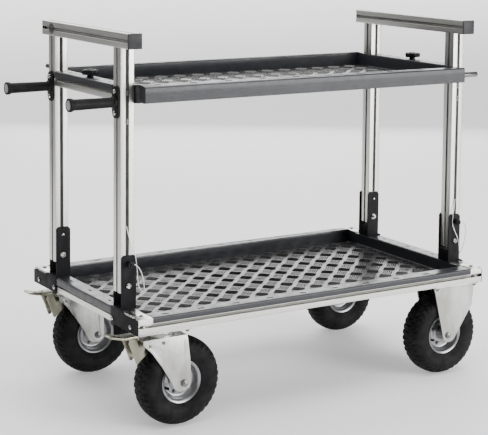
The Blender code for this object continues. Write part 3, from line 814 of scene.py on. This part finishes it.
def star_knob(tag):
    """Five-lobed moulded knob on a necked hub, with the clamping stud below."""
    lo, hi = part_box("star_knob_" + tag)
    x = (lo.x + hi.x) / 2
    z0 = TRAY_HI.z + GAP

    def lobes(along, a):
        if 0.0065 < along < 0.0225:
            return 0.0033 * math.cos(5 * a)
        return 0.0

    bm = bmesh.new()
    add_lathe(bm, [(0.0, 0.0), (0.0, 0.0104), (0.0030, 0.0104), (0.0055, 0.0094),
                   (0.0070, 0.0195), (0.0082, 0.0232), (0.0110, 0.0240), (0.0180, 0.0240),
                   (0.0205, 0.0228), (0.0215, 0.0200), (0.0216, 0.0108), (0.0222, 0.0096),
                   (0.0234, 0.0090), (0.0235, 0.0)],
              (x, 0.0, z0), (0, 0, 1), 50, lobes)
    add_lathe(bm, [(lo.z - z0, 0.0), (lo.z - z0, 0.0036), (0.001, 0.0038), (0.0012, 0.0)],
              (x, 0.0, z0), (0, 0, 1), 12)
    piece("star_knob_%s_skin" % tag, bm, "knob_" + tag, "plastic", ("star_knob_" + tag,))


def handle(tag):
    """Push grip: ribbed rubber sleeve flared at the end, a pale end disc and a bolted plate."""
    lo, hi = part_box("grip_" + tag)
    centre = Vector((hi.x, (lo.y + hi.y) / 2, (lo.z + hi.z) / 2))
    length = hi.x - lo.x

    def ribs(along, a):
        inside = 0.010 < along < length - 0.016
        return 0.0006 * (abs(math.cos(9 * a)) ** 0.5 - 1.0) if inside else 0.0

    bm = bmesh.new()
    profile = [(0.0, 0.0), (0.0, 0.0176), (0.0012, 0.0188), (0.0060, 0.0188), (0.0080, 0.0168),
               (0.0105, 0.0152)]
    for k in range(7):
        f = k / 6
        profile.append((0.012 + f * (length - 0.030), 0.0150 + 0.0015 * f))
    profile += [(length - 0.0140, 0.0176), (length - 0.0105, 0.0196), (length - 0.0060, 0.0200),
                (length - 0.0018, 0.0198), (length - 0.0006, 0.0188), (length - 0.0008, 0.0150),
                (length - 0.0020, 0.0146), (length - 0.0020, 0.0)]
    add_lathe(bm, profile, centre, (-1, 0, 0), 54, ribs)
    piece("grip_%s_skin" % tag, bm, "frame", "grip", ("grip_" + tag,))
    disc = bmesh.new()
    add_lathe(disc, [(length - 0.0019, 0.0), (length - 0.0019, 0.0142), (length - 0.0006, 0.0138),
                     (length - 0.0001, 0.0120), (length - 0.0004, 0.0)], centre, (-1, 0, 0), 24)
    piece("grip_disc_" + tag, disc, "frame", "disc")
    refined("handle_plate_" + tag, "frame", "bracket", 0.0010, 3)
    plate_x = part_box("handle_plate_" + tag)[0].x
    bolts = bmesh.new()
    for s in (-1, 1):
        spot = (plate_x, centre.y, centre.z + s * 0.0315)
        add_cap_screw(bolts, spot, (-1, 0, 0), 0.0066, 0.0046)
    piece("handle_bolts_" + tag, bolts, "frame", "bolt")


def side_knobs():
    """Rods with a rounded end, threaded into the end frames."""
    lo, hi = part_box("side_knob_FE")
    length = hi.x - lo.x
    bm = bmesh.new()
    add_lathe(bm, [(0.0, 0.0), (0.0, 0.0078), (0.0240, 0.0078), (0.0250, 0.0091),
                   (length - 0.0030, 0.0092), (length - 0.0010, 0.0080), (length, 0.0050),
                   (length, 0.0)],
              (lo.x, (lo.y + hi.y) / 2, (lo.z + hi.z) / 2), (1, 0, 0), 24)
    piece("side_knob_FE_skin", bm, "frame", "rod", ("side_knob_FE",))
    lo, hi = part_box("side_knob_RL")
    length = hi.y - lo.y
    bm = bmesh.new()
    add_lathe(bm, [(0.0, 0.0), (0.0, 0.0058), (0.0200, 0.0058), (0.0215, 0.0070),
                   (length - 0.0030, 0.0070), (length - 0.0008, 0.0060), (length, 0.0035),
                   (length, 0.0)],
              ((lo.x + hi.x) / 2, lo.y, (lo.z + hi.z) / 2), (0, 1, 0), 24)
    piece("side_knob_RL_skin", bm, "frame", "plastic", ("side_knob_RL",))


def end_caps():
    for tag in ("LF", "LR", "EF", "ER"):
        refined("end_cap_" + tag, "frame", "cap", 0.0004)


# ---- wheels and castors --------------------------------------------------------------
LUGS = 38


def tyre(tag):
    """Pneumatic tyre: staggered tread blocks, shoulder lugs and ringed side walls."""
    lo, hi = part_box("tyre_" + tag)
    centre = (lo + hi) / 2
    radius = (hi.z - lo.z) / 2
    half = (hi.y - lo.y) / 2
    steps = LUGS * 8
    profile = []
    count = 34
    for k in range(count + 1):
        a = math.radians(-112 + 224 * k / count)
        rad = radius - 0.037 + 0.037 * math.cos(a)
        wide = half * math.copysign(abs(math.sin(a)) ** 0.75, math.sin(a))
        profile.append((wide, rad, a))
    bm = bmesh.new()
    rings = []
    for wide, rad, a in profile:
        ring = []
        for i in range(steps):
            depth = tread_depth(a, i)
            turn = 2 * math.pi * i / steps
            r = rad - depth * math.cos(a)
            y = wide - depth * math.sin(a)
            spot = (centre.x + r * math.cos(turn), centre.y + y, centre.z + r * math.sin(turn))
            ring.append(bm.verts.new(spot))
        rings.append(ring)
    inner = []
    for wide in (0.031, -0.031):
        inner.append([bm.verts.new((centre.x + 0.0655 * math.cos(2 * math.pi * i / steps),
                                    centre.y + wide,
                                    centre.z + 0.0655 * math.sin(2 * math.pi * i / steps)))
                      for i in range(steps)])
    rings += inner
    close_rings(bm, rings)
    piece("tyre_%s_skin" % tag, bm, "wheel_" + tag, "tyre", ("tyre_" + tag,), 40.0)


def tread_depth(a, i):
    """How far the surface sinks at an angle across the tyre and a step around it."""
    deg = abs(math.degrees(a))
    phase = i % 8
    if deg < 24:
        shift = 0 if deg < 8 else 4
        return 0.0030 if (i + shift) % 8 < 2 or 8 <= deg < 11 else 0.0
    if deg < 30:
        return 0.0030
    if deg < 47:
        return 0.0032 if (phase + 2) % 8 < 3 else 0.0
    if deg < 62:
        return 0.0018 if phase < 3 else 0.0
    if 74 < deg < 79 or 92 < deg < 96:
        return 0.0006
    return 0.0003 if deg > 62 else 0.0


def rim(tag, outward):
    """Split pressed rim: rolled bead flange, dished disc, hub tube, bolts and valve."""
    lo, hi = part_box("rim_" + tag)
    centre = (lo + hi) / 2
    half = [(0.0410, 0.0106), (0.0410, 0.0165), (0.0400, 0.0185), (0.0120, 0.0195),
            (0.0095, 0.0215), (0.0080, 0.0260), (0.0080, 0.0290), (0.0110, 0.0310),
            (0.0110, 0.0400), (0.0085, 0.0425), (0.0085, 0.0470), (0.0120, 0.0510),
            (0.0230, 0.0545), (0.0280, 0.0560), (0.0310, 0.0590), (0.0320, 0.0620),
            (0.0330, 0.0640), (0.0325, 0.0650), (0.0305, 0.0650)]
    closed = half + [(-w, r) for w, r in reversed(half)]
    bm = bmesh.new()
    steps = 56
    rings = []
    for along, r in closed:
        rings.append([bm.verts.new(centre + Vector((r * math.cos(2 * math.pi * i / steps), along,
                                                    r * math.sin(2 * math.pi * i / steps))))
                      for i in range(steps)])
    close_rings(bm, rings)
    piece("rim_%s_skin" % tag, bm, "wheel_" + tag, "rim", ("rim_" + tag,), 50.0)
    bolts = bmesh.new()
    for s in (-1, 1):
        for k in range(4):
            a = math.pi / 4 + k * math.pi / 2 + 0.35
            spot = centre + Vector((0.0355 * math.cos(a), s * 0.0108, 0.0355 * math.sin(a)))
            add_hex_head(bolts, spot, (0, s, 0), 0.0052, 0.0046, 0.0030)
    piece("rim_bolts_" + tag, bolts, "wheel_" + tag, "screw")
    valve = bmesh.new()
    a = math.radians(200)
    foot = centre + Vector((0.0500 * math.cos(a), outward * 0.0115, 0.0500 * math.sin(a)))
    add_lathe(valve, [(-0.001, 0.0), (-0.001, 0.0050), (0.0040, 0.0042), (0.0120, 0.0034),
                      (0.0125, 0.0038), (0.0190, 0.0038), (0.0200, 0.0030), (0.0200, 0.0)],
              foot, (-0.25 * math.cos(a), outward, -0.25 * math.sin(a)), 14)
    piece("valve_" + tag, valve, "wheel_" + tag, "plastic")


def axle(tag, body):
    """Axle bolt: hexagon head, washer and nut with the thread end showing."""
    lo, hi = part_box("axle_" + tag)
    centre = (lo + hi) / 2
    outer = (hi.y - lo.y) / 2
    bm = bmesh.new()
    inner = outer - 0.0080
    add_lathe(bm, [(-inner, 0.0), (-inner, 0.0098), (inner, 0.0098), (inner, 0.0)], centre,
              (0, 1, 0), 20)
    for s in (-1, 1):
        add_hex_head(bm, centre + Vector((0, s * inner, 0)), (0, s, 0), 0.0098, 0.0053, 0.0060)
    piece("axle_%s_skin" % tag, bm, body, "rod", ("axle_" + tag,))


def castors():
    for tag, sx, sy in CORNERS:
        body = "castor_" + tag if sx < 0 else "frame"
        tyre(tag)
        rim(tag, sy)
        axle(tag, body)
        refined("fork_" + tag, body, "zinc", 0.0011, 3, fork_detail(tag, sx))
        castor_screws(tag, sx, sy)
    for tag in ("FL", "RL"):
        fork_rivets(tag)
        refined("swivel_plate_" + tag, "frame", "zinc", 0.0007)
        refined("brake_pedal_" + tag, "brake_" + tag, "zinc_dark", 0.0007)


def fork_rivets(tag):
    """Dark rivet heads high on both cheeks of a swivel fork."""
    lo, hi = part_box("fork_" + tag)
    bm = bmesh.new()
    for face, s in ((lo.y, -1), (hi.y, 1)):
        add_lathe(bm, [(-0.0005, 0.0056), (0.0008, 0.0056), (0.0016, 0.0044), (0.0016, 0.0024),
                       (0.0004, 0.0020), (0.0003, 0.0)],
                  (MID_X - 0.539, face, 0.2655), (0, s, 0), 20)
    piece("fork_rivets_" + tag, bm, "castor_" + tag, "screw")


def fork_detail(tag, sx):
    """Pressed ridges on the fork's cheeks, added to the same piece."""
    wheel_lo, wheel_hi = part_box("rim_" + tag)
    axle_x = (wheel_lo.x + wheel_hi.x) / 2
    mid_y = (wheel_lo.y + wheel_hi.y) / 2
    reach = 0.0500 if sx < 0 else 0.0510

    def add(bm):
        for s in (-1, 1):
            face = mid_y + s * reach
            if sx < 0:
                ridge(bm, face, s, (axle_x + 0.0105, 0.145), (axle_x + 0.0025, 0.268), 0.0065)
            else:
                ridge(bm, face, s, (axle_x - 0.0130, 0.160), (axle_x - 0.0450, 0.296), 0.0045)
    return add


def ridge(bm, face, s, low, high, half):
    """A shallow rounded bead along a line on a fork cheek."""
    a = Vector((low[0], 0, low[1]))
    b = Vector((high[0], 0, high[1]))
    run = (b - a).normalized()
    side = Vector((run.z, 0, -run.x))
    rows = []
    for f, width in ((0.0, 0.15), (0.04, 0.75), (0.12, 1.0), (0.88, 1.0), (0.96, 0.75),
                     (1.0, 0.15)):
        row = []
        for k in range(7):
            c = -1 + k / 3
            height = 0.0013 * (1 - c * c) * width
            spot = a.lerp(b, f) + side * (c * half * width)
            row.append(bm.verts.new((spot.x, face + s * (height - 0.00005), spot.z)))
        rows.append(row)
    for r0, r1 in zip(rows, rows[1:]):
        for k in range(6):
            quad = (r0[k], r0[k + 1], r1[k + 1], r1[k])
            bm.faces.new(quad if s > 0 else tuple(reversed(quad)))


def castor_screws(tag, sx, sy):
    """Plate screws and nuts that hold each castor under the base."""
    name = "swivel_plate_" + tag if sx < 0 else "fork_" + tag
    lo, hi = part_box(name)
    y0, y1 = sy * 0.2330, sy * 0.3510
    z = hi.z - 0.0060
    bm = bmesh.new()
    for x in (lo.x + 0.013, hi.x - 0.013):
        for y in (y0, y1):
            add_hex_head(bm, (x, y, z), (0, 0, -1), 0.0066, 0.0052, 0.0040)
    piece("castor_screws_" + tag, bm, "frame", "screw")


# ---- lanyards ---------------------------------------------------------------------------
def smooth_path(points, per_span=12):
    """Points along a Catmull-Rom curve through the given ones."""
    pts = [Vector(p) for p in points]
    fine = []
    for i in range(len(pts) - 1):
        a = pts[max(i - 1, 0)]
        b = pts[i]
        c = pts[i + 1]
        d = pts[min(i + 2, len(pts) - 1)]
        for k in range(per_span):
            t = k / per_span
            fine.append(0.5 * ((2 * b) + (c - a) * t + (2 * a - 5 * b + 4 * c - d) * t * t
                               + (3 * b - a - 3 * c + d) * t ** 3))
    fine.append(pts[-1])
    return fine


def lanyard(tag, points):
    """Stranded wire from the upright's slot to the lock pin's knob, slack in a loop."""
    path = smooth_path(points)
    curve = bpy.data.curves.new("lanyard_%s_wire" % tag, "CURVE")
    curve.dimensions = "3D"
    curve.bevel_depth = CORD / 2
    curve.bevel_resolution = 3
    curve.use_fill_caps = True
    spline = curve.splines.new("POLY")
    spline.points.add(len(path) - 1)
    for pt, p in zip(spline.points, path):
        pt.co = (*p, 1.0)
    curve.materials.append(MATS["wire"])
    obj = bpy.data.objects.new("lanyard_%s_wire" % tag, curve)
    bpy.context.scene.collection.objects.link(obj)
    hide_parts("lanyard_" + tag)
    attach(obj, "frame")
    return path


def lanyards():
    y = -(UY1 + GAP + PLATE)
    x = MID_X - PIN_X
    lanyard("FL", [
        (x - 0.0055, y + 0.0024, 0.6010), (x + 0.0030, y + 0.0005, 0.5670),
        (x + 0.0165, y - 0.0055, 0.5250), (x + 0.0220, y - 0.0090, 0.4850),
        (x + 0.0225, y - 0.0150, 0.4450), (x + 0.0260, y - 0.0180, 0.4200),
        (x + 0.0350, y - 0.0190, 0.4065), (x + 0.0415, y - 0.0190, 0.4160),
        (x + 0.0390, y - 0.0180, 0.4450), (x + 0.0280, y - 0.0160, 0.4750),
        (x + 0.0116, y - 0.0150, 0.4905)])
    x = MID_X + PIN_X
    lanyard("FE", [
        (x - 0.0005, y + 0.0024, 0.5650), (x - 0.0060, y - 0.0010, 0.5370),
        (x - 0.0125, y - 0.0035, 0.5080), (x - 0.0130, y - 0.0040, 0.4820),
        (x - 0.0060, y - 0.0070, 0.4600), (x + 0.0015, y - 0.0130, 0.4380),
        (x + 0.0060, y - 0.0140, 0.4200), (x + 0.0095, y - 0.0135, 0.4030),
        (x + 0.0105, y - 0.0130, 0.3900), (x + 0.0150, y - 0.0130, 0.3845),
        (x + 0.0215, y - 0.0140, 0.3960), (x + 0.0300, y - 0.0155, 0.4250),
        (x + 0.0345, y - 0.0160, 0.4550), (x + 0.0310, y - 0.0160, 0.4770),
        (x + 0.0210, y - 0.0155, 0.4890), (x + 0.0116, y - 0.0150, 0.4905)])


# ---- stage -------------------------------------------------------------------------------
LIGHTS = (   # name, place, size, power, target
    ("key", (3.2, -5.4, 2.0), (3.4, 3.4), 440, (0.0, 0.0, 0.7)),
    ("rear", (2.9, 4.6, 1.7), (4.2, 2.6), 85, (0.0, 0.0, 0.7)),
    ("wash", (12.0, 22.0, 9.0), (44.0, 26.0), 9000, (12.0, 22.0, 0.0)),
    ("top", (0.0, 0.0, 5.2), (6.0, 6.0), 420, (0.0, 0.0, 0.0)),
)


def stage():
    bpy.ops.mesh.primitive_plane_add(size=160, location=(0, 0, 0))
    floor = bpy.context.object
    floor.name = "floor"
    mat = new_material("floor", 0.0, 0.85, (0.92, 0.92, 0.92))
    tint(mat, texture(mat, 3.0, detail=2.0), (0.92, 0.92, 0.92), (0.95, 0.95, 0.95))
    floor.data.materials.append(mat)
    lift = mat.node_tree.nodes["Principled BSDF"]
    lift.inputs["Emission Color"].default_value = (1.0, 1.0, 1.0, 1.0)
    lift.inputs["Emission Strength"].default_value = 0.30
    world = bpy.data.worlds.new("studio")
    bpy.context.scene.world = world
    world.use_nodes = True
    nodes, links = world.node_tree.nodes, world.node_tree.links
    room = nodes["Background"]
    room.inputs["Color"].default_value = (0.98, 0.99, 1.0, 1.0)
    room.inputs["Strength"].default_value = 0.12
    backdrop = nodes.new("ShaderNodeBackground")
    backdrop.inputs["Color"].default_value = (1.0, 1.0, 1.0, 1.0)
    backdrop.inputs["Strength"].default_value = 7.0
    path = nodes.new("ShaderNodeLightPath")
    mix = nodes.new("ShaderNodeMixShader")
    links.new(path.outputs["Is Camera Ray"], mix.inputs[0])
    links.new(room.outputs[0], mix.inputs[1])
    links.new(backdrop.outputs[0], mix.inputs[2])
    links.new(mix.outputs[0], nodes["World Output"].inputs["Surface"])
    add_flag((-2.3, 3.1, 0.9), (3.6, 1.7))
    for light in LIGHTS:
        add_light(*light)


def add_flag(place, size):
    """A dark card that only the metal's left faces reflect."""
    bpy.ops.mesh.primitive_plane_add(size=1, location=place)
    card = bpy.context.object
    card.name = "flag"
    card.scale = (*size, 1.0)
    aim = Vector((0.0, 0.0, place[2])) - Vector(place)
    card.rotation_euler = aim.to_track_quat("Z", "Y").to_euler()
    card.data.materials.append(new_material("flag", 0.0, 0.9, (0.16, 0.16, 0.16)))
    card.visible_camera = False
    card.visible_shadow = False


def add_light(name, place, size, power, target):
    data = bpy.data.lights.new(name, "AREA")
    data.shape = "RECTANGLE"
    data.size, data.size_y = size
    data.energy = power
    light = bpy.data.objects.new(name, data)
    light.location = place
    light.visible_camera = False
    aim = Vector(target) - light.location
    light.rotation_euler = aim.to_track_quat("-Z", "Y").to_euler()
    bpy.context.scene.collection.objects.link(light)


def main():
    make_camera()
    lanyards()
    frame_profiles()
    cover_strips_and_slot_shade()
    slot_hardware()
    tread("lower_tread", "frame", *lower_tray())
    tread("upper_tread", "shelf", *upper_tray())
    brackets()
    for tag, _, sy in CORNERS:
        lock_pin(tag, sy)
    for tag in ("L", "E"):
        star_knob(tag)
    handle("F")
    handle("R")
    side_knobs()
    end_caps()
    castors()
    stage()


main()
